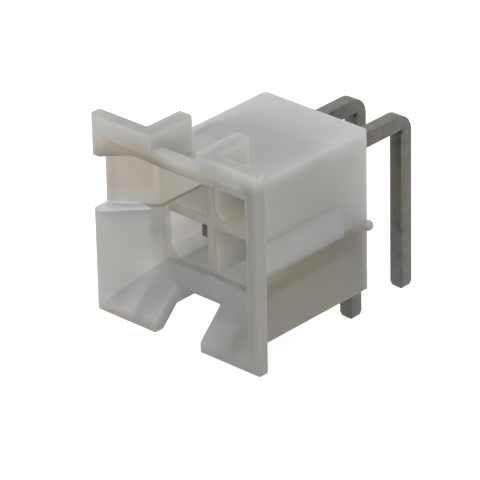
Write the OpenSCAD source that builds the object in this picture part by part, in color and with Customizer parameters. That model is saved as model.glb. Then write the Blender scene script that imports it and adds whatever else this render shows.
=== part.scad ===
/* [Contacts] */
// Distance between neighbouring contacts, across and up
pitch = 4.2; // [3.9:0.05:4.4]
// Side of the square wire of a contact
wire = 1.12; // [0.8:0.01:1.2]
// Outer radius of the bend in a contact
bend_r = 1.4; // [1.25:0.05:1.5]
// Clear gap between the rear face of the body and the near row of legs
leg_gap = 0.51; // [0.4:0.01:3]
// Distance from the near row of legs to the far row
leg_step = 5.4; // [4.2:0.1:7]
// Depth of the near legs below the board face
tail_near = 3.6; // [1.5:0.1:5]
// Depth of the far legs below the board face
tail_far = 3.35; // [1.5:0.05:5]
// Distance from the mouth to the tips inside
tip_y = 5.2; // [4.2:0.1:8]
// Length of the tapered end of a contact
taper = 0.5; // [0.3:0.05:1.2]
// Width of the blunt face at the end of a contact
tip_w = 0.46; // [0.3:0.02:0.7]

/* [Body] */
// Width of the body behind the funnel
body_w = 9.4; // [9.2:0.1:10.4]
// Height of the top of the body above the board
body_h = 12.3; // [12.2:0.1:13]
// Distance from the mouth to the rear face
body_d = 14.35; // [13.2:0.05:16]
// Thickness of the walls between the cells
cell_wall = 0.6; // [0.5:0.05:1]
// Height of the lower row of contacts above the board
row_z = 5.68; // [5.5:0.02:5.8]
// Distance from the mouth to the front of the cells
cell_y = 3.5; // [3.2:0.1:3.8]
// Depth of the solid wall at the rear that grips the contacts
rear_wall = 3.6; // [2:0.1:4.2]
// Corner cut off in the two keyed cells
key_c = 0.75; // [0.3:0.05:1.1]
// Height of the floor of the hollow below the cells
floor_z = 3.25; // [2.8:0.05:3.3]
// Radius of the upright rear corners
rear_r = 0.2; // [0.1:0.05:0.6]

/* [Funnel] */
// Side of the square lip
lip = 15.06; // [14.8:0.02:16]
// Thickness of the lip
lip_t = 0.82; // [0.6:0.02:1.2]
// Width of the front face of the lip, keyway side
face_key = 0.6; // [0.4:0.05:0.8]
// Width of the front face of the lip, other side
face_side = 0.85; // [0.6:0.05:1]
// Width of the front face of the lip, below
face_low = 0.8; // [0.6:0.05:1]
// Width of the front face of the lip, above
face_top = 1.6; // [1.2:0.05:1.8]
// Half the width of the notches above and below
notch = 2.08; // [1.6:0.02:2.3]
// Height that is left of the lip above the mouth at the top notch
notch_web = 0.55; // [0.4:0.05:0.9]
// Width of a rib beside the top notch
rib_w = 1.05; // [0.8:0.05:1.6]
// Length of a rib from the mouth
rib_l = 4.2; // [3.8:0.1:6]
// Height of the keyway in the side of the funnel
key_h = 3.94; // [3:0.02:4.2]

/* [Side rails] */
// Height of the underside of a rail
rail_z = 5.5; // [4.5:0.1:6]
// Distance from the mouth to the end of a rail
rail_l = 11.15; // [8:0.05:12]
// Distance that a rail stands out
rail_out = 0.6; // [0.3:0.05:1]

/* [Hidden] */
$fn = 64;
e = 0.01;
cell = pitch - cell_wall;
zu = row_z + pitch;
zlo = row_z - cell / 2;
zhi = zu + cell / 2;
xin = pitch / 2 + cell / 2;
hw = body_w / 2;
hl = lip / 2;
ztop = lip - face_top;
flat_z = 1.45;
back_y = cell_y + 0.34;
skirt = 3.9;
key_z = zu - 0.02;
leg_near = body_d + leg_gap + wire / 2;
groove = hw - 0.4;

housing();
upper_left_pin();
upper_right_pin();
lower_left_pin();
lower_right_pin();

// A box from its low corner to its high corner
module span(a, b) { translate(a) cube(b - a); }
// Prisms over an outline, along x, y and z; the outline is given as [y, z], [x, z] and [x, y]
module along_x(x0, x1) { translate([x0, 0, 0]) rotate([90, 0, 90]) linear_extrude(x1 - x0) children(); }
module along_y(y0, y1) { translate([0, y1, 0]) rotate([90, 0, 0]) linear_extrude(y1 - y0) children(); }
module along_z(z0, z1) { translate([0, 0, z0]) linear_extrude(z1 - z0) children(); }
module both() { for (s = [0, 1]) mirror([s, 0, 0]) children(); }

module housing() color([0.93, 0.93, 0.9]) {
    difference() {
        union() {
            shell();
            funnel_outside();
            ribs();
            both() rail();
            key_boss();
            translate([hw, body_d - 0.05, rail_z - 0.57]) sphere(0.4, $fn = 32);
        }
        funnel_inside();
        cells();
        hollow();
        low_notch();
        top_notch();
        keyway();
        for (x = [-pitch / 2, pitch / 2], z = [row_z, zu])
            span([x - wire / 2, body_d - rear_wall - 1, z - wire / 2], [x + wire / 2, body_d + 1, z + wire / 2]);
    }
}

// The box round the cells, down to the board at both sides
module shell() {
    along_z(0, body_h) {
        translate([-hw, lip_t - e]) square([body_w, body_d - lip_t - rear_r + e]);
        translate([-hw + rear_r, body_d - 1]) square([body_w - 2 * rear_r, 1]);
        for (s = [-1, 1]) translate([s * (hw - rear_r), body_d - rear_r]) circle(rear_r);
    }
}

// Lip and the sloping walls behind it
module funnel_outside() {
    span([-hl, 0, 0], [hl, lip_t, lip]);
    k = hl - hw;
    intersection() {
        along_z(0, lip) polygon([[-hl, lip_t - e], [hl, lip_t - e], [hl, lip_t], [hw, lip_t + k], [-hw, lip_t + k], [-hl, lip_t]]);
        along_x(-hl, hl) polygon([[lip_t - e, 0], [lip_t, 0], [lip_t + flat_z, flat_z], [back_y, flat_z], [back_y, body_h],
            [lip_t + lip - body_h, body_h], [lip_t, lip], [lip_t - e, lip]]);
    }
}

// The square mouth, narrowing at 45 degrees to the front of the cells
module funnel_inside() {
    a = hl - face_key;
    b = hl - face_side;
    intersection() {
        along_z(-1, lip + 1)
            polygon([[-a - 1, -1], [b + 1, -1], [xin, b - xin], [xin, cell_y], [-xin, cell_y], [-xin, a - xin]]);
        along_x(-hl, hl)
            polygon([[-1, face_low - 1], [zlo - face_low, zlo], [cell_y, zlo], [cell_y, zhi], [ztop - zhi, zhi], [-1, ztop + 1]]);
    }
}

module cells() {
    y1 = body_d - rear_wall;
    for (x = [-pitch / 2, pitch / 2], z = [row_z, zu]) translate([x, 0, z]) along_y(cell_y - e, y1)
        difference() {
            square(cell, center = true);
            if ((x > 0) == (z == zu)) for (s = [-1, 1])
                polygon([[s * (cell / 2 - key_c), -cell], [s * cell, -cell], [s * cell, -cell / 2 + key_c],
                    [s * cell / 2, -cell / 2 + key_c], [s * (cell / 2 - key_c), -cell / 2]]);
        }
}

// Space below the cells and below the flat of the lower wall, between the sides
module hollow() {
    along_x(-skirt, skirt) polygon([[lip_t, -1], [lip_t, 0], [lip_t + flat_z, flat_z], [back_y, flat_z],
        [back_y, floor_z], [body_d + 1, floor_z], [body_d + 1, -1]]);
}

module low_notch() { span([-notch, -1, -1], [notch, back_y, zlo + e]); }

// The top notch: its floor slopes down to the body between the ribs
module top_notch() {
    z = ztop + notch_web;
    along_x(-notch, notch) polygon([[-1, z], [lip_t, z], [lip_t + z - body_h, body_h], [rib_l + 1, body_h], [rib_l + 1, lip + 1], [-1, lip + 1]]);
}

module ribs() {
    r = 0.25;
    for (s = [0, 1]) mirror([s, 0, 0]) along_x(notch, notch + rib_w) {
        translate([0, body_h - 1]) square([rib_l, lip - body_h + 1 - r]);
        translate([0, lip - 1]) square([rib_l - r, 1]);
        translate([rib_l - r, lip - r]) circle(r);
    }
}

// The keyway: a slot through the lip that runs on as a groove in the wall of the upper cell
module keyway() {
    along_z(key_z - key_h / 2, key_z + key_h / 2)
        polygon([[-hl - 1, -1], [-hl - 1, lip_t + 0.38], [-hl + 0.45, lip_t + 0.38], [-groove - 0.1, cell_y - 0.3],
            [-groove, cell_y - 0.1], [-groove, cell_y + 5.5], [0.1 - xin, cell_y + 5.5], [0.1 - xin, -1]]);
}

module key_boss() {
    along_z(key_z - key_h / 2 - 0.6, key_z + key_h / 2 + 0.6)
        polygon([[-hl, lip_t - e], [-hl, 1.8], [-hl + 0.35, 1.85], [-hw, 3.95], [-hw + e, 3.95], [-hw + e, lip_t - e]]);
}

// Rail on the side of the body, and the thin seam that runs on behind it
module rail() {
    x = hw + rail_out;
    along_y(lip_t - e, rail_l)
        polygon([[hw - e, rail_z], [x, rail_z], [x, rail_z + 0.9], [x - 0.06, rail_z + 1.3], [x - 0.2, rail_z + 1.7], [hw - e, rail_z + 2.15]]);
    span([hw - e, rail_l - e, rail_z - 0.6], [hw + 0.06, body_d - rear_r, rail_z - 0.45]);
}

// One contact: a square wire bent down through a right angle, tapered at both ends
module contact(x, z, y, tail) {
    h = wire / 2;
    t = tip_w / 2;
    c = h - t;
    tl = taper * 0.9;
    color([0.72, 0.71, 0.68]) translate([x, 0, 0]) intersection() {
        along_x(-h, h) difference() {
            union() {
                polygon([[tip_y, z - t], [tip_y + taper, z - h], [y + h, z - h], [y + h, z + h], [tip_y + taper, z + h], [tip_y, z + t]]);
                polygon([[y - t, -tail], [y + t, -tail], [y + h, -tail + tl], [y + h, z + h], [y - h, z + h], [y - h, -tail + tl]]);
            }
            difference() {
                translate([y + h - bend_r, z + h - bend_r]) square(bend_r + 1);
                translate([y + h - bend_r, z + h - bend_r]) circle(bend_r);
            }
        }
        union() {
            along_z(z - h, z + h) polygon([[-t, tip_y], [t, tip_y], [h, tip_y + taper], [h, y + h], [-h, y + h], [-h, tip_y + taper]]);
            along_y(y - h, y + h) polygon([[-t, -tail], [t, -tail], [h, -tail + tl], [h, z], [-h, z], [-h, -tail + tl]]);
        }
    }
}

module upper_left_pin() contact(-pitch / 2, zu, leg_near + leg_step, tail_far);
module upper_right_pin() contact(pitch / 2, zu, leg_near + leg_step, tail_far);
module lower_left_pin() contact(-pitch / 2, row_z, leg_near, tail_near);
module lower_right_pin() contact(pitch / 2, row_z, leg_near, tail_near);
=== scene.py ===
# %% [markdown]
# # A right-angle board header in milky nylon
#
# A board header is the half of a connector that is soldered to a circuit board. This one has a moulded
# plastic housing with a square funnel that guides the plug in, and four square wires that are bent down
# at the back and end in solder tails. The construction model gives every size, and this file gives the
# looks: softened edges, drawn and bent wire, cloudy plastic and matte tin.

# %% Load the construction model
import math
import bmesh
import bpy
from mathutils import Matrix, Vector


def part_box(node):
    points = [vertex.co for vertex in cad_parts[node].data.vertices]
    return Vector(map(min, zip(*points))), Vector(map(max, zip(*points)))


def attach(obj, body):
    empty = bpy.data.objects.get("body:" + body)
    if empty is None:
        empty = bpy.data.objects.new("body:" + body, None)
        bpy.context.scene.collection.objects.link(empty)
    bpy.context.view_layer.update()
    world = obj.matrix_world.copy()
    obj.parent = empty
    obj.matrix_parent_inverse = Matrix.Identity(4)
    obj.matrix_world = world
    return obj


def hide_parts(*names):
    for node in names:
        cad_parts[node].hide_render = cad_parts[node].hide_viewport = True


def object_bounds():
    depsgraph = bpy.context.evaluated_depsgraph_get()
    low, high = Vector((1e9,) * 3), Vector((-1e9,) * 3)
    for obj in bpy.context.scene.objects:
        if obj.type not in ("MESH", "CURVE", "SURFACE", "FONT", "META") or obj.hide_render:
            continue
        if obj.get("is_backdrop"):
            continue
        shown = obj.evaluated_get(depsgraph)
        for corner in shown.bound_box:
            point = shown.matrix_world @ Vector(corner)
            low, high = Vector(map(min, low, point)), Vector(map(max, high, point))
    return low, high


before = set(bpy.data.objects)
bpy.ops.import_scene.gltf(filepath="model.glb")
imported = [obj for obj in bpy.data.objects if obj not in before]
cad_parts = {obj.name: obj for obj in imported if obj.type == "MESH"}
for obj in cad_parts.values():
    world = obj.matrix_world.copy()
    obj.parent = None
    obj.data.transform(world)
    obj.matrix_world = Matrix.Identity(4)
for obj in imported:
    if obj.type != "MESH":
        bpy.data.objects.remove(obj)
MM = 0.001
cad_low, cad_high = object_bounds()
print("nodes:", sorted(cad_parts))
print("size in mm:", [round(v / MM, 2) for v in cad_high - cad_low])

# %% [markdown]
# ## Sizes to build on
#
# The contacts are measured on the construction model, so that the dressed ones sit exactly where the
# plain ones were. A contact's box tells the width of its wire, where its tip is inside the housing, how
# far back its leg stands and how deep its tail reaches.

# %% Measure the contacts
CONTACTS = ["upper_left_pin", "upper_right_pin", "lower_left_pin", "lower_right_pin"]
places = {}
for name in CONTACTS:
    low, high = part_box(name)
    places[name] = {
        "x": (low.x + high.x) / 2, "tip": low.y, "leg": high.y, "tail": low.z, "top": high.z,
        "wire": high.x - low.x,
    }
    print(name, {k: round(v / MM, 2) for k, v in places[name].items()})

# %% Helpers that put something new into the scene, and read the mesh that modifiers make
def new_object(name, data):
    thing = bpy.data.objects.new(name, data)
    bpy.context.scene.collection.objects.link(thing)
    return thing


def modified_mesh(piece):
    """The plain mesh that a piece's modifiers give, as a new mesh."""
    graph = bpy.context.evaluated_depsgraph_get()
    return bpy.data.meshes.new_from_object(piece.evaluated_get(graph))

# %% [markdown]
# ## Shader parts that several finishes share
#
# Real surfaces are never one even colour. A node group works like a small function: it is built once,
# has named inputs, and each finish places it with values of its own. The first group makes a soft,
# cloudy variation between two tones from noise in object coordinates, which stay with the piece when it
# moves. The second makes a fine bump, for the texture that a mould or a drawing die leaves.

# %% Helpers for node trees
def feed(tree, sockets, values):
    """Fills sockets in order: a number is set on its socket, and another node's output is linked to it."""
    for socket, value in zip(sockets, values):
        if isinstance(value, (int, float)):
            socket.default_value = value
        else:
            tree.links.new(value, socket)


def math_node(tree, operation, a, b):
    node = tree.nodes.new("ShaderNodeMath")
    node.operation = operation
    feed(tree, node.inputs, (a, b))
    return node.outputs[0]


def empty_tree(name, kind, inputs, outputs):
    """A node group with named sockets and its two end nodes. None keeps an input's own value."""
    tree = bpy.data.node_groups.new(name, kind)
    for label, socket_type, value in inputs:
        socket = tree.interface.new_socket(name=label, in_out="INPUT", socket_type=socket_type)
        if value is not None:
            socket.default_value = value
    for label, socket_type in outputs:
        tree.interface.new_socket(name=label, in_out="OUTPUT", socket_type=socket_type)
    return tree, tree.nodes.new("NodeGroupInput"), tree.nodes.new("NodeGroupOutput")


FLOAT, COLOR, VECTOR = "NodeSocketFloat", "NodeSocketColor", "NodeSocketVector"

# %% The cloudy tone group
def build_cloudy_tone():
    tree, ins, outs = empty_tree(
        "cloudy_tone", "ShaderNodeTree",
        [("Vector", VECTOR, None), ("Scale", FLOAT, 300.0), ("Light", COLOR, (1, 1, 1, 1)),
         ("Dark", COLOR, (0.8, 0.8, 0.8, 1))],
        [("Color", COLOR), ("Mask", FLOAT)])
    noise = tree.nodes.new("ShaderNodeTexNoise")
    noise.inputs["Detail"].default_value = 3.0
    noise.inputs["Roughness"].default_value = 0.55
    ramp = tree.nodes.new("ShaderNodeMapRange")
    ramp.inputs["From Min"].default_value = 0.3
    ramp.inputs["From Max"].default_value = 0.7
    mix = tree.nodes.new("ShaderNodeMix")
    mix.data_type = "RGBA"
    link = tree.links.new
    link(ins.outputs["Vector"], noise.inputs["Vector"])
    link(ins.outputs["Scale"], noise.inputs["Scale"])
    link(noise.outputs["Fac"], ramp.inputs["Value"])
    link(ramp.outputs["Result"], mix.inputs["Factor"])
    link(ins.outputs["Dark"], mix.inputs["A"])
    link(ins.outputs["Light"], mix.inputs["B"])
    link(mix.outputs["Result"], outs.inputs["Color"])
    link(ramp.outputs["Result"], outs.inputs["Mask"])
    return tree


cloudy_tone = build_cloudy_tone()
print("group:", cloudy_tone.name, [s.name for s in cloudy_tone.interface.items_tree])

# %% The fine bump group
def build_fine_bump():
    tree, ins, outs = empty_tree(
        "fine_bump", "ShaderNodeTree",
        [("Vector", VECTOR, None), ("Scale", FLOAT, 4000.0), ("Strength", FLOAT, 0.1),
         ("Distance", FLOAT, 0.00002)],
        [("Normal", VECTOR)])
    noise = tree.nodes.new("ShaderNodeTexNoise")
    noise.inputs["Detail"].default_value = 2.0
    bump = tree.nodes.new("ShaderNodeBump")
    link = tree.links.new
    link(ins.outputs["Vector"], noise.inputs["Vector"])
    link(ins.outputs["Scale"], noise.inputs["Scale"])
    link(noise.outputs["Fac"], bump.inputs["Height"])
    link(ins.outputs["Strength"], bump.inputs["Strength"])
    link(ins.outputs["Distance"], bump.inputs["Distance"])
    link(bump.outputs["Normal"], outs.inputs["Normal"])
    return tree


fine_bump = build_fine_bump()
print("group:", fine_bump.name)

# %% [markdown]
# The third group lays another colour into a soft-edged box in space. Nylon shows a little of what lies
# behind its surface: where there are metal, deeper plastic or closed cells behind a wall, the light that
# comes back is warmer or dimmer, and on the nylon that light is painted into the colour. The nylon's boxes
# are painted light and shade throughout: they also paint light into the cells, shade on the funnel and its
# lips, and a glint along the keyway's ledge. Each place of that kind gets one such box, from its middle,
# its half size and its softness, which is the distance over which the colour fades on either side of the
# box's faces.

# %% The soft place group
def build_soft_place():
    tree, ins, outs = empty_tree(
        "soft_place", "ShaderNodeTree",
        [("Vector", VECTOR, None), ("Color", COLOR, (1, 1, 1, 1)), ("Inside", COLOR, (1, 1, 1, 1)),
         ("Middle", VECTOR, None), ("Half Size", VECTOR, None), ("Softness", FLOAT, 0.001)],
        [("Color", COLOR)])
    link = tree.links.new

    def vector_step(operation, a, b):
        node = tree.nodes.new("ShaderNodeVectorMath")
        node.operation = operation
        link(a, node.inputs[0])
        if b is not None:
            link(b, node.inputs[1])
        return node.outputs[0]

    offset = vector_step("SUBTRACT", ins.outputs["Vector"], ins.outputs["Middle"])
    outside = vector_step("SUBTRACT", vector_step("ABSOLUTE", offset, None), ins.outputs["Half Size"])
    parts = tree.nodes.new("ShaderNodeSeparateXYZ")
    link(outside, parts.inputs[0])
    falloff = []
    for axis in range(3):
        fade = tree.nodes.new("ShaderNodeMapRange")
        fade.interpolation_type = "SMOOTHSTEP"
        link(parts.outputs[axis], fade.inputs["Value"])
        link(math_node(tree, "MULTIPLY", ins.outputs["Softness"], -1.0), fade.inputs["From Min"])
        link(ins.outputs["Softness"], fade.inputs["From Max"])
        fade.inputs["To Min"].default_value = 1.0
        fade.inputs["To Max"].default_value = 0.0
        falloff.append(fade.outputs["Result"])
    mask = math_node(tree, "MULTIPLY", math_node(tree, "MULTIPLY", falloff[0], falloff[1]), falloff[2])
    mix = tree.nodes.new("ShaderNodeMix")
    mix.data_type = "RGBA"
    link(mask, mix.inputs["Factor"])
    link(ins.outputs["Color"], mix.inputs["A"])
    link(ins.outputs["Inside"], mix.inputs["B"])
    link(mix.outputs["Result"], outs.inputs["Color"])
    return tree


soft_place = build_soft_place()
print("group:", soft_place.name, [s.name for s in soft_place.interface.items_tree])

# %% [markdown]
# ## Milky nylon
#
# Nylon without pigment is not a white paint. Light goes deep into it, scatters and comes out elsewhere, so
# shadows on it are soft and thin walls glow. Subsurface scattering does exactly that, with a depth that is
# given in metres, because the whole scene is. A part of the light goes straight through, which is the
# transmission. The colour itself hardly varies: it is a cool grey with faint clouds. The places below
# paint light and shade onto it, which makes it warmer, lighter or darker.

# %% Helpers that start a material and place a group in it
def start_material(name):
    mat = bpy.data.materials.new(name)
    mat.use_nodes = True
    tree = mat.node_tree
    bsdf = tree.nodes["Principled BSDF"]
    coords = tree.nodes.new("ShaderNodeTexCoord")
    return mat, tree, bsdf, coords.outputs["Object"]


def place_group(tree, group, vector, **values):
    node = tree.nodes.new("ShaderNodeGroup")
    node.node_tree = group
    tree.links.new(vector, node.inputs["Vector"])
    for key, value in values.items():
        node.inputs[key].default_value = value
    return node


def lay_places(tree, where, colour, spots):
    """Lays soft boxes of colour over a colour. A later one lies over an earlier one."""
    for middle, half, soft, shade in spots:
        place = place_group(tree, soft_place, where, Inside=(*shade, 1), Softness=soft * MM,
                            Middle=[v * MM for v in middle])
        place.inputs["Half Size"].default_value = [v * MM for v in half]
        tree.links.new(colour, place.inputs["Color"])
        colour = place.outputs["Color"]
    return colour

# %% The painted light and shade in the nylon
# Painted light and shade: middle, half size and softness in mm, and the colour painted there.
NYLON_LIGHT_AND_SHADE = {
    # Painted shade: the funnel, its flares and the upper lip are darker and greyer than the body.
    "funnel": ((0, 0.6, 7.5), (9.0, 2.0, 9.0), 0.8, (0.35, 0.353, 0.353)),
    "left_flare_shade": ((-6.2, 1.6, 5.0), (2.4, 2.2, 4.0), 0.8, (0.26, 0.265, 0.262)),
    "lower_flare_shade": ((-1.0, 1.6, 2.0), (4.2, 3.0, 2.2), 0.8, (0.38, 0.382, 0.39)),
    "upper_lip_shade": ((0.0, 1.6, 14.4), (9.5, 2.8, 1.6), 0.6, (0.32, 0.325, 0.32)),
    # Warm painted shade under the upper lip, where light comes back through the plastic.
    "lip_underside_warm_shade": ((-1.5, 0.2, 13.1), (5.6, 0.8, 0.6), 0.6, (0.33, 0.29, 0.24)),
    # Painted shade on the right lip and the right foot.
    "right_lip_shade": ((6.9, 0.3, 6.0), (0.8, 0.9, 8.0), 0.5, (0.178, 0.177, 0.16)),
    "right_foot_shade": ((5.6, 1.0, 0.8), (2.6, 2.2, 1.6), 1.8, (0.235, 0.232, 0.222)),
    # Warm painted shade at the keyway, on the lower lip and on the skirts, where the contacts and the
    # cells lie behind thin walls.
    "keyway_side_warm_shade": ((-5.4, 1.9, 10.6), (3.0, 2.8, 2.2), 1.0, (0.225, 0.18, 0.135)),
    "lower_lip_warm_shade": ((-4.6, 0.0, 0.0), (2.6, 0.3, 0.6), 0.4, (0.37, 0.28, 0.205)),
    "right_skirt_warm_shade": ((4.9, 8.6, 2.4), (0.6, 5.6, 2.8), 0.5, (0.20, 0.168, 0.113)),
    "left_skirt_warm_shade": ((-4.9, 8.6, 2.4), (0.6, 5.6, 2.8), 0.5, (0.20, 0.168, 0.113)),
    "skirt_rear_warm_shade": ((0, 13.2, 2.4), (5.5, 1.2, 2.8), 1.6, (0.21, 0.20, 0.17)),
    # Painted light: the cells are lit up, warmer on the right and by the keyway, as light comes in through
    # their walls.
    "cells": ((0, 8.8, 7.8), (4.25, 5.1, 4.2), 0.2, (0.997, 0.955, 0.83)),
    "warm_cells_light": ((2.3, 8.8, 8.5), (2.0, 5.1, 2.6), 0.6, (0.99, 0.90, 0.68)),
    "keyway_cell_light": ((-3.4, 4.6, 10.4), (1.0, 1.4, 1.6), 0.8, (0.99, 0.88, 0.74)),
    # Painted shade in the keyway's groove and on the fronts of the walls between the cells.
    "keyway_groove_shade": ((-4.22, 5.6, 9.9), (0.3, 3.2, 2.1), 0.1, (0.27, 0.225, 0.16)),
    "web_front_shade": ((0, 3.5, 7.8), (3.95, 0.15, 3.95), 0.1, (0.44, 0.415, 0.34)),
    # Painted shade that dulls the bright rims on top of the lips, and painted light with a glint line
    # along the keyway's ledge.
    "lip_top_shade": ((0, 0.6, 15.2), (9.0, 3.4, 0.3), 0.12, (0.235, 0.239, 0.239)),
    "keyway_ledge_glint": ((-5.6, 0.8, 7.84), (2.4, 1.6, 0.12), 0.06, (0.68, 0.68, 0.68)),
}
print("places in the nylon:", len(NYLON_LIGHT_AND_SHADE))

# %% The nylon material
NYLON_LIGHT = (0.455, 0.465, 0.465, 1)
NYLON_DARK = (0.415, 0.425, 0.42, 1)
SCATTER_DEPTH = 12.0 * MM
SCATTER_SHARES = (1.0, 0.97, 0.88)
STRAIGHT_THROUGH = 0.48
FACE_ROUGHNESS = 0.5
EDGE_ROUGHNESS = 0.42


def make_nylon():
    mat, tree, bsdf, where = start_material("milky_nylon")
    tone = place_group(tree, cloudy_tone, where, Scale=180.0, Light=NYLON_LIGHT, Dark=NYLON_DARK)
    colour = lay_places(tree, where, tone.outputs["Color"], NYLON_LIGHT_AND_SHADE.values())
    grain = place_group(tree, fine_bump, where, Scale=6000.0, Strength=0.15, Distance=0.00001)
    tree.links.new(colour, bsdf.inputs["Base Color"])
    tree.links.new(grain.outputs["Normal"], bsdf.inputs["Normal"])
    edge = tree.nodes.new("ShaderNodeAttribute")
    edge.attribute_name = "edge_light"
    gloss = tree.nodes.new("ShaderNodeMapRange")
    gloss.inputs["To Min"].default_value = FACE_ROUGHNESS
    gloss.inputs["To Max"].default_value = EDGE_ROUGHNESS
    tree.links.new(edge.outputs["Fac"], gloss.inputs["Value"])
    tree.links.new(gloss.outputs["Result"], bsdf.inputs["Roughness"])
    bsdf.inputs["IOR"].default_value = 1.53
    bsdf.inputs["Subsurface Weight"].default_value = 1.0
    bsdf.inputs["Subsurface Radius"].default_value = SCATTER_SHARES
    bsdf.inputs["Subsurface Scale"].default_value = SCATTER_DEPTH
    bsdf.inputs["Transmission Weight"].default_value = STRAIGHT_THROUGH
    bsdf.inputs["Coat Weight"].default_value = 0.05
    bsdf.inputs["Coat Roughness"].default_value = 0.2
    return mat


nylon = make_nylon()
print("material:", nylon.name)

# %% [markdown]
# ## Matte tin
#
# The contacts are drawn brass wire with a matte tin coat. Tin is a grey metal that reflects softly, and
# where it has dulled it is part metal and part grey film, so it is only half metallic here. The die leaves
# faint lines along the wire, which a bump with stretched coordinates gives, and handling leaves duller
# patches. The tips, the legs' inner sides and the cut ends have tones of their own, and the inner corners
# get painted shade: they are laid on as places, once for each row of contacts. One leg has a scratch
# besides.

# %% The marks on the contacts
def row_marks(row):
    """Places in one row: the plain tip, the warm side of the leg, painted shade in the inner corner, and
    the dark cut end.
    """
    p = places[row]
    inner, wire, tail = (p["leg"] - p["wire"]) / MM, p["wire"] / MM, p["tail"] / MM
    corner = p["top"] / MM - wire
    return [
        ((0, p["tip"] / MM + 1.0, corner + wire / 2), (3.0, 1.3, 0.8), 0.3, (0.10, 0.098, 0.09)),
        ((0, inner, corner - 4.0), (3.0, 0.3, 1.6), 1.2, (0.125, 0.114, 0.085)),
        # Painted shade in the inner corner of the bend.
        ((0, inner + 0.02, corner - 0.12), (3.0, 0.12, 0.14), 0.14, (0.018, 0.017, 0.015)),
        ((0, inner + wire / 2, tail), (3.0, 0.8, 0.30), 0.12, (0.045, 0.044, 0.040)),
    ]


SCRATCH = ((2.42, 20.26, 6.5), (0.12, 0.06, 0.03), 0.06, (0.05, 0.045, 0.038))
marks = row_marks("upper_right_pin") + row_marks("lower_right_pin") + [SCRATCH]
print("marks on the contacts:", len(marks))

# %% The tin material
TIN_LIGHT = (0.135, 0.126, 0.115, 1)
TIN_DARK = (0.080, 0.077, 0.070, 1)
BRIGHT_ROUGHNESS = 0.38
DULL_ROUGHNESS = 0.52
METAL_SHARE = 0.5
ALONG_THE_WIRE = (1.0, 0.12, 0.12)


def make_tin():
    mat, tree, bsdf, where = start_material("matte_tin")
    stretch = tree.nodes.new("ShaderNodeMapping")
    stretch.inputs["Scale"].default_value = ALONG_THE_WIRE
    tree.links.new(where, stretch.inputs["Vector"])
    tone = place_group(tree, cloudy_tone, where, Scale=1400.0, Light=TIN_LIGHT, Dark=TIN_DARK)
    colour = lay_places(tree, where, tone.outputs["Color"], marks)
    lines = place_group(tree, fine_bump, stretch.outputs["Vector"], Scale=9000.0, Strength=0.2,
                        Distance=0.00001)
    rough = tree.nodes.new("ShaderNodeMapRange")
    rough.inputs["To Min"].default_value = BRIGHT_ROUGHNESS
    rough.inputs["To Max"].default_value = DULL_ROUGHNESS
    tree.links.new(tone.outputs["Mask"], rough.inputs["Value"])
    tree.links.new(rough.outputs["Result"], bsdf.inputs["Roughness"])
    tree.links.new(colour, bsdf.inputs["Base Color"])
    tree.links.new(lines.outputs["Normal"], bsdf.inputs["Normal"])
    bsdf.inputs["Metallic"].default_value = METAL_SHARE
    return mat


tin = make_tin()
print("material:", tin.name)

# %% [markdown]
# ## The contacts: one wire that follows a path
#
# Each contact is a length of square wire that was cut, pointed at both ends and bent once. That is a
# rule, so Geometry Nodes make it: seven points give the path, a fillet rounds the bend, and a square
# outline with rounded corners is swept along it. The sweep is scaled down towards both ends, which makes
# the blunt tapers. One tree serves all four, and each contact sets its own inputs.

# %% Helpers for the geometry tree
def place_node(tree, x, y, z):
    node = tree.nodes.new("ShaderNodeCombineXYZ")
    feed(tree, node.inputs, (x, y, z))
    return node.outputs[0]


def pick_by_index(tree, kind, values):
    """One value for each point of the path, in order."""
    node = tree.nodes.new("GeometryNodeIndexSwitch")
    node.data_type = kind
    while len(node.index_switch_items) < len(values):
        node.index_switch_items.new()
    feed(tree, node.inputs, [tree.nodes.new("GeometryNodeInputIndex").outputs[0], *values])
    return node.outputs[0]

# %% The bent wire tree
MID_TAPER_PLACE = 0.4
MID_TAPER_WIDTH = 0.84
BEND_STEPS = 12
EDGE_STEPS = 3


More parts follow.
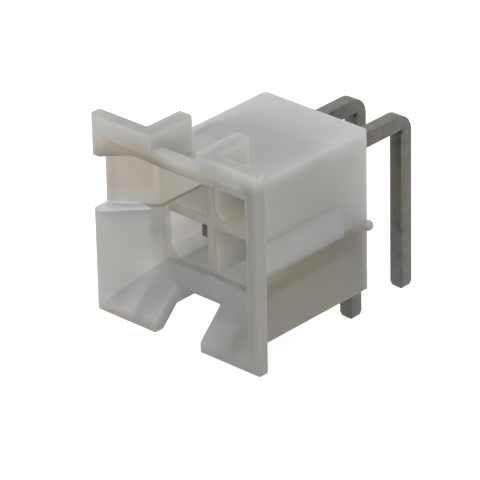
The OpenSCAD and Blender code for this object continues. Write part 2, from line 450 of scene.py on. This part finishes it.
def build_bent_wire():
    tree, ins, outs = empty_tree(
        "bent_square_wire", "GeometryNodeTree",
        [("Across", FLOAT, 0.0), ("Row Height", FLOAT, 0.01), ("Tip", FLOAT, 0.005),
         ("Leg", FLOAT, 0.015), ("Tail", FLOAT, -0.0036), ("Wire", FLOAT, 0.00112),
         ("Bend Radius", FLOAT, 0.0009), ("Edge Radius", FLOAT, 0.00008), ("Taper", FLOAT, 0.0005),
         ("Tip Width", FLOAT, 0.00046), ("Material", "NodeSocketMaterial", None)],
        [("Geometry", "NodeSocketGeometry")])
    get = ins.outputs
    link = tree.links.new
    shoulder = math_node(tree, "ADD", get["Tip"], get["Taper"])
    tail_shoulder = math_node(tree, "ADD", get["Tail"], get["Taper"])
    part_way = math_node(tree, "MULTIPLY", get["Taper"], MID_TAPER_PLACE)
    mid_tip = math_node(tree, "ADD", get["Tip"], part_way)
    mid_tail = math_node(tree, "ADD", get["Tail"], part_way)
    row = get["Row Height"]
    spots = [(get["Tip"], row), (mid_tip, row), (shoulder, row), (get["Leg"], row),
             (get["Leg"], tail_shoulder), (get["Leg"], mid_tail), (get["Leg"], get["Tail"])]
    points = tree.nodes.new("GeometryNodePoints")
    points.inputs["Count"].default_value = len(spots)
    where = pick_by_index(tree, "VECTOR", [place_node(tree, get["Across"], y, z) for y, z in spots])
    link(where, points.inputs["Position"])
    path = tree.nodes.new("GeometryNodePointsToCurves")
    link(points.outputs[0], path.inputs[0])
    narrow = math_node(tree, "DIVIDE", get["Tip Width"], get["Wire"])
    scale = tree.nodes.new("GeometryNodeSetCurveRadius")
    link(path.outputs[0], scale.inputs["Curve"])
    widths = [narrow, MID_TAPER_WIDTH, 1.0, 1.0, 1.0, MID_TAPER_WIDTH, narrow]
    link(pick_by_index(tree, "FLOAT", widths), scale.inputs["Radius"])
    bend = tree.nodes.new("GeometryNodeFilletCurve")
    bend.mode = "POLY"
    bend.inputs["Count"].default_value = BEND_STEPS
    link(scale.outputs[0], bend.inputs["Curve"])
    radii = [0.0, 0.0, 0.0, get["Bend Radius"], 0.0, 0.0, 0.0]
    link(pick_by_index(tree, "FLOAT", radii), bend.inputs["Radius"])
    outline = tree.nodes.new("GeometryNodeCurvePrimitiveQuadrilateral")
    link(get["Wire"], outline.inputs["Width"])
    link(get["Wire"], outline.inputs["Height"])
    soft = tree.nodes.new("GeometryNodeFilletCurve")
    soft.mode = "POLY"
    soft.inputs["Count"].default_value = EDGE_STEPS
    link(outline.outputs[0], soft.inputs["Curve"])
    link(get["Edge Radius"], soft.inputs["Radius"])
    sweep = tree.nodes.new("GeometryNodeCurveToMesh")
    sweep.inputs["Fill Caps"].default_value = True
    link(bend.outputs[0], sweep.inputs["Curve"])
    link(soft.outputs[0], sweep.inputs["Profile Curve"])
    link(tree.nodes.new("GeometryNodeInputRadius").outputs[0], sweep.inputs["Scale"])
    real = tree.nodes.new("GeometryNodeRealizeInstances")
    link(sweep.outputs[0], real.inputs[0])
    finish = tree.nodes.new("GeometryNodeSetMaterial")
    link(real.outputs[0], finish.inputs["Geometry"])
    link(get["Material"], finish.inputs["Material"])
    link(finish.outputs[0], outs.inputs[0])
    return tree


bent_wire = build_bent_wire()
print("tree:", bent_wire.name, len(bent_wire.nodes), "nodes")

# %% A helper that runs a tree and keeps the plain mesh
def run_tree(name, tree, **values):
    """Makes a new mesh object from a tree. A modifier's input is set by its socket's identifier."""
    host = new_object(name + "_host", bpy.data.meshes.new(name + "_host"))
    mod = host.modifiers.new("nodes", "NODES")
    mod.node_group = tree
    sockets = {s.name: s.identifier for s in tree.interface.items_tree
               if s.item_type == "SOCKET" and s.in_out == "INPUT"}
    for label, value in values.items():
        mod[sockets[label.replace("_", " ")]] = value
    mesh = modified_mesh(host)
    bpy.data.objects.remove(host)
    mesh.name = name
    return new_object(name, mesh)

# %% A helper that squares the inside of a bend
def square_inner_corner(piece, centre_y, centre_z, radius):
    """Moves the points of the inner arc out to the sharp corner that a wire folded over a tool has."""
    for v in piece.data.vertices:
        dy, dz = v.co.y - centre_y, v.co.z - centre_z
        if dy > 0 and dz > 0 and math.hypot(dy, dz) < radius:
            stretch = math.hypot(dy, dz) / max(dy, dz)
            v.co.y = centre_y + dy * stretch
            v.co.z = centre_z + dz * stretch

# %% Make the four contacts
EDGE_RADIUS = 0.09 * MM
BEND_OUTER = 1.4 * MM
SMOOTH_UP_TO = math.radians(35.0)
for name in CONTACTS:
    p = places[name]
    half = p["wire"] / 2
    bend = BEND_OUTER - half
    piece = run_tree(
        name.replace("_pin", "_contact"), bent_wire, Across=p["x"], Row_Height=p["top"] - half,
        Tip=p["tip"], Leg=p["leg"] - half, Tail=p["tail"], Wire=p["wire"], Bend_Radius=bend,
        Edge_Radius=EDGE_RADIUS, Material=tin)
    square_inner_corner(piece, p["leg"] - BEND_OUTER, p["top"] - BEND_OUTER, bend)
    piece.data.shade_smooth()
    piece.data.set_sharp_from_angle(angle=SMOOTH_UP_TO)
    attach(piece, "root")
    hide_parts(name)
    print(piece.name, len(piece.data.polygons), "faces")

# %% [markdown]
# ## The housing
#
# A mould never makes a knife-sharp edge. The construction mesh is exact but sharp, and it is made of
# loose triangles. So a copy of it is merged into one closed skin, its flat triangles become whole faces,
# and its edges get a narrow bevel. The highlights that such edges catch are much of what makes a moulded
# part look moulded.

# %% Copy the housing
MERGE_DISTANCE = 0.002 * MM


def closed_copy(node, name):
    """Copies a construction node's loose triangles and merges them into one closed skin."""
    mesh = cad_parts[node].data.copy()
    mesh.name = name
    work = bmesh.new()
    work.from_mesh(mesh)
    bmesh.ops.remove_doubles(work, verts=work.verts, dist=MERGE_DISTANCE)
    work.to_mesh(mesh)
    work.free()
    return new_object(name, mesh)


housing = closed_copy("housing", "housing_moulding")
print("housing:", len(housing.data.polygons), "triangles")

# %% [markdown]
# The lower notch doesn't reach up to the cells: its upper edge is a bridge, the part of the sloping wall
# that is left between the two sides. It is a short prism from the same slope, joined to the housing by a
# boolean, so that the plastic is one closed skin with no wall inside that light would show. A boolean
# joins flat faces cleanly only where they lie in one plane to the last digit, so both solids are first
# snapped to a fine grid of 1/1024 mm, and go back to metres afterwards.

# %% A helper that makes a prism
def prism(name, place, start, end, outline):
    """A closed prism: place puts a distance along the prism and an outline's point into space."""
    work = bmesh.new()
    ends = [[work.verts.new(place(along, a, b)) for a, b in outline] for along in (start, end)]
    work.faces.new(ends[0])
    work.faces.new(reversed(ends[1]))
    for i in range(len(outline)):
        j = (i + 1) % len(outline)
        work.faces.new((ends[0][j], ends[0][i], ends[1][i], ends[1][j]))
    bmesh.ops.recalc_face_normals(work, faces=work.faces)
    mesh = bpy.data.meshes.new(name)
    work.to_mesh(mesh)
    work.free()
    return new_object(name, mesh)

# %% A helper that joins two closed solids
GRID_STEPS_PER_MM = 1024
FLAT_UP_TO = math.radians(0.6)


def join_solid(piece, other):
    """Joins another closed solid to a piece, and merges flat neighbours into whole faces."""
    for mesh in (piece.data, other.data):
        for v in mesh.vertices:
            v.co = [round(c / MM * GRID_STEPS_PER_MM) / GRID_STEPS_PER_MM for c in v.co]
    union = piece.modifiers.new("union", "BOOLEAN")
    union.operation = "UNION"
    union.solver = "EXACT"
    union.object = other
    mesh = modified_mesh(piece)
    piece.modifiers.clear()
    piece.data = mesh
    bpy.data.objects.remove(other)
    for v in mesh.vertices:
        v.co *= MM
    work = bmesh.new()
    work.from_mesh(mesh)
    bmesh.ops.remove_doubles(work, verts=work.verts, dist=MERGE_DISTANCE)
    bmesh.ops.dissolve_limit(work, angle_limit=FLAT_UP_TO, verts=work.verts, edges=work.edges)
    open_edges = sum(len(e.link_faces) != 2 for e in work.edges)
    work.to_mesh(mesh)
    work.free()
    return open_edges

# %% The bridge over the lower notch
# Heights, depths and half widths on the construction model. The sloping wall's face has y = z - SLOPE_Z.
BRIDGE_Z = 2.83 * MM
SLOPE_Z = 0.8 * MM
CELL_FLOOR = 3.88 * MM
FLOOR_UNDERSIDE = 3.25 * MM
WALL_REAR = 3.84 * MM
OVERLAP = 0.125 * MM
NOTCH_HALF = 2.08 * MM
CELL_FRONT = 3.5 * MM
WEB_HALF = 0.3 * MM
KEY_CUT = 0.75 * MM
bridge = prism("bridge", lambda x, y, z: (x, y, z), -NOTCH_HALF - OVERLAP, NOTCH_HALF + OVERLAP, [
    (BRIDGE_Z - SLOPE_Z, BRIDGE_Z), (CELL_FLOOR - SLOPE_Z, CELL_FLOOR), (WALL_REAR + OVERLAP, CELL_FLOOR),
    (WALL_REAR + OVERLAP, FLOOR_UNDERSIDE), (WALL_REAR, FLOOR_UNDERSIDE), (WALL_REAR, BRIDGE_Z)])
print("open edges after the join:", join_solid(housing, bridge))

# %% The foot of the wall between the cells
# It stands on the bridge, together with the cut corner of the cell on its left.
foot = prism("foot", lambda y, x, z: (x, y, z), CELL_FRONT, WALL_REAR + OVERLAP, [
    (-WEB_HALF - KEY_CUT, CELL_FLOOR - OVERLAP), (-WEB_HALF - KEY_CUT, CELL_FLOOR),
    (-WEB_HALF, CELL_FLOOR + KEY_CUT), (WEB_HALF, CELL_FLOOR + KEY_CUT), (WEB_HALF, CELL_FLOOR - OVERLAP)])
print("open edges after the join:", join_solid(housing, foot))
print("housing:", len(housing.data.polygons), "whole faces")

# %% [markdown]
# The bevel takes its edges from a weight. Only real corners get one: they turn by more than 32 degrees,
# and they aren't part of the mould's seam line or gate nub at the rear of the sides, which are finer than
# the bevel. Inside the cells the steel core of the mould leaves crisper edges, so those get a third of
# the width.

# %% Weigh the edges
BEVEL_WIDTH = 0.09 * MM
CORNER_FROM = math.radians(32)
CRISP_SHARE = 0.33
FINE_MARKS = (Vector((4.5, 10.8, 4.2)) * MM, Vector((6.0, 15.2, 5.6)) * MM)
CORE_SIDE = (Vector((-1.0, 2.95, 3.0)) * MM, Vector((4.45, 11.0, 12.0)) * MM)


def inside(point, box):
    """True where a point lies in a box that is the same on the left and on the right."""
    spot = Vector((abs(point.x), point.y, point.z))
    return all(box[0][i] < spot[i] < box[1][i] for i in range(3))


def weigh_edges(mesh):
    work = bmesh.new()
    work.from_mesh(mesh)
    weight = work.edges.layers.float.new("bevel_weight_edge")
    count = 0
    for edge in work.edges:
        corner = len(edge.link_faces) == 2 and edge.calc_face_angle(0) > CORNER_FROM
        if corner and not any(inside(v.co, FINE_MARKS) for v in edge.verts):
            edge[weight] = CRISP_SHARE if any(inside(v.co, CORE_SIDE) for v in edge.verts) else 1.0
            count += 1
    work.to_mesh(mesh)
    work.free()
    return count


print("edges to bevel:", weigh_edges(housing.data))

# %% Bevel, and mark the new narrow faces
def softened(piece, material):
    """Bevels by weight, and stores 1 on the bevel's own faces as the attribute edge_light."""
    piece.data.materials.clear()
    piece.data.materials.append(material)
    piece.data.materials.append(None)
    piece.data.shade_smooth()
    bevel = piece.modifiers.new("soft_edges", "BEVEL")
    bevel.width = BEVEL_WIDTH
    bevel.segments = 2
    bevel.limit_method = "WEIGHT"
    bevel.use_clamp_overlap = False
    bevel.miter_outer = "MITER_ARC"
    bevel.material = 1
    even = piece.modifiers.new("even_shading", "WEIGHTED_NORMAL")
    even.keep_sharp = True
    mesh = modified_mesh(piece)
    piece.modifiers.clear()
    piece.data = mesh
    narrow = [p.material_index == 1 for p in mesh.polygons]
    layer = mesh.attributes.new("edge_light", "FLOAT", "POINT")
    for polygon, on_edge in zip(mesh.polygons, narrow):
        polygon.material_index = 0
        if on_edge:
            for v in polygon.vertices:
                layer.data[v].value = 1.0
    while len(mesh.materials) > 1:
        mesh.materials.pop(index=1)
    mesh.name = piece.name
    return sum(narrow)


print("bevel faces:", softened(housing, nylon))
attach(housing, "root")
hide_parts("housing")

# %% [markdown]
# ## Floor, light and camera
#
# The header stands on a plain pale floor. The camera looks from the front right and from above, through
# a long lens, as for a catalogue. The lamps are large and soft: one over the top, one at the front right
# and one at the right. The floor and the world are near white where they are looked at. Where they only
# light the part they are greyer, so that the pale backdrop doesn't wash the shadows out.

# %% A helper that finds the rays that look at the backdrop
def looking_rays(tree):
    """1 for a ray that sees the backdrop, also by reflection or through the plastic, and 0 for others."""
    path = tree.nodes.new("ShaderNodeLightPath").outputs
    straight_or_mirrored = math_node(tree, "MAXIMUM", path["Is Camera Ray"], path["Is Glossy Ray"])
    return math_node(tree, "MAXIMUM", straight_or_mirrored, path["Is Transmission Ray"])

# %% The floor
FLOOR_SIZE = 3.0
FLOOR_GLOW = 0.8
FLOOR_SEEN = 0.35
FLOOR_BOUNCE = 0.35


def grey(value):
    return (value, value, value, 1)


def make_floor(height):
    bpy.ops.mesh.primitive_plane_add(size=FLOOR_SIZE, location=(0, 0, height))
    ground = bpy.context.object
    ground.name = "floor"
    mat = bpy.data.materials.new("pale_floor")
    mat.use_nodes = True
    tree = mat.node_tree
    tree.nodes.clear()
    out = tree.nodes.new("ShaderNodeOutputMaterial")
    bounce = tree.nodes.new("ShaderNodeBsdfDiffuse")
    bounce.inputs["Color"].default_value = grey(FLOOR_BOUNCE)
    seen = tree.nodes.new("ShaderNodeBsdfDiffuse")
    seen.inputs["Color"].default_value = grey(FLOOR_SEEN)
    glow = tree.nodes.new("ShaderNodeEmission")
    glow.inputs["Strength"].default_value = FLOOR_GLOW
    both = tree.nodes.new("ShaderNodeAddShader")
    pick = tree.nodes.new("ShaderNodeMixShader")
    link = tree.links.new
    link(seen.outputs[0], both.inputs[0])
    link(glow.outputs[0], both.inputs[1])
    link(looking_rays(tree), pick.inputs["Fac"])
    link(bounce.outputs[0], pick.inputs[1])
    link(both.outputs[0], pick.inputs[2])
    link(pick.outputs[0], out.inputs["Surface"])
    ground.data.materials.append(mat)
    ground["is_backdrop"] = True
    return ground


make_floor(cad_low.z)
print("floor at mm:", round(cad_low.z / MM, 2))

# %% The world
AMBIENT = 0.92
WHITE = 1.0


def make_world():
    world = bpy.data.worlds.new("studio")
    bpy.context.scene.world = world
    world.use_nodes = True
    tree = world.node_tree
    tree.nodes.clear()
    out = tree.nodes.new("ShaderNodeOutputWorld")
    light = tree.nodes.new("ShaderNodeBackground")
    light.inputs["Color"].default_value = grey(1.0)
    light.inputs["Strength"].default_value = AMBIENT
    white = tree.nodes.new("ShaderNodeBackground")
    white.inputs["Color"].default_value = grey(1.0)
    white.inputs["Strength"].default_value = WHITE
    mix = tree.nodes.new("ShaderNodeMixShader")
    link = tree.links.new
    link(looking_rays(tree), mix.inputs["Fac"])
    link(light.outputs[0], mix.inputs[1])
    link(white.outputs[0], mix.inputs[2])
    link(mix.outputs[0], out.inputs["Surface"])
    return world


print("world:", make_world().name)

# %% The lamps
# The direction from the part's middle, the distance and the size in metres, and the power in watts.
SOFTBOXES = {
    "top_softbox": ((-0.25, 0.15, 1.0), 0.30, 0.25, 0.58),
    "front_softbox": ((0.45, -1.0, 0.5), 0.35, 0.18, 0.56),
    "right_softbox": ((1.0, -0.1, 0.45), 0.40, 0.25, 0.40),
}
MIDDLE = (cad_low + cad_high) / 2


def softbox(name, direction, distance, size, power):
    lamp = bpy.data.lights.new(name, "AREA")
    lamp.shape = "SQUARE"
    lamp.size = size
    lamp.energy = power
    thing = new_object(name, lamp)
    away = Vector(direction).normalized()
    thing.location = MIDDLE + away * distance
    thing.rotation_mode = "QUATERNION"
    thing.rotation_quaternion = away.to_track_quat("Z", "Y")
    return thing


for name, setting in SOFTBOXES.items():
    lamp = softbox(name, *setting)
    print(name, "at mm:", [round(v / MM) for v in lamp.location])

# %% The camera
def turned_camera(yaw, pitch, roll):
    """Right, up and back axes of a camera that looks from the front, turned to the right and raised."""
    back = Vector((math.sin(yaw) * math.cos(pitch), -math.cos(yaw) * math.cos(pitch), math.sin(pitch)))
    right = Vector((math.cos(yaw), math.sin(yaw), 0))
    up = back.cross(right)
    tilted_right = right * math.cos(roll) + up * math.sin(roll)
    tilted_up = up * math.cos(roll) - right * math.sin(roll)
    return Matrix((tilted_right, tilted_up, back)).transposed()


AIM = Vector((0.3582, 6.0277, 5.598)) * MM
DISTANCE = 294.62 * MM
TURN = math.radians(42.99)
RAISE = math.radians(27.353)
ROLL = math.radians(-1.204)
# The focal length and the sensor are in mm.
FOCAL_LENGTH = 324.2
SENSOR_WIDTH = 36
lens = bpy.data.cameras.new("camera")
lens.lens = FOCAL_LENGTH
lens.sensor_width = SENSOR_WIDTH
lens.clip_start = 0.01
lens.clip_end = 10
lens.dof.use_dof = False
camera = new_object("camera", lens)
axes = turned_camera(TURN, RAISE, ROLL)
camera.matrix_world = Matrix.Translation(AIM + axes.col[2] * DISTANCE) @ axes.to_4x4()
bpy.context.scene.camera = camera
bpy.context.scene.view_settings.view_transform = "Standard"
print("camera at mm:", [round(v / MM, 1) for v in camera.matrix_world.translation])

# %% [markdown]
# ## Compare the size and finish
#
# Looks must not change the size. The construction box and the box of the dressed model are compared, and
# how far the dressed model reaches past the construction box is printed.

# %% Compare the two boxes and finish
new_low, new_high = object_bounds()
grown = (*(cad_low - new_low), *(new_high - cad_high))
print("grew in mm:", [round(v / MM, 3) for v in grown])
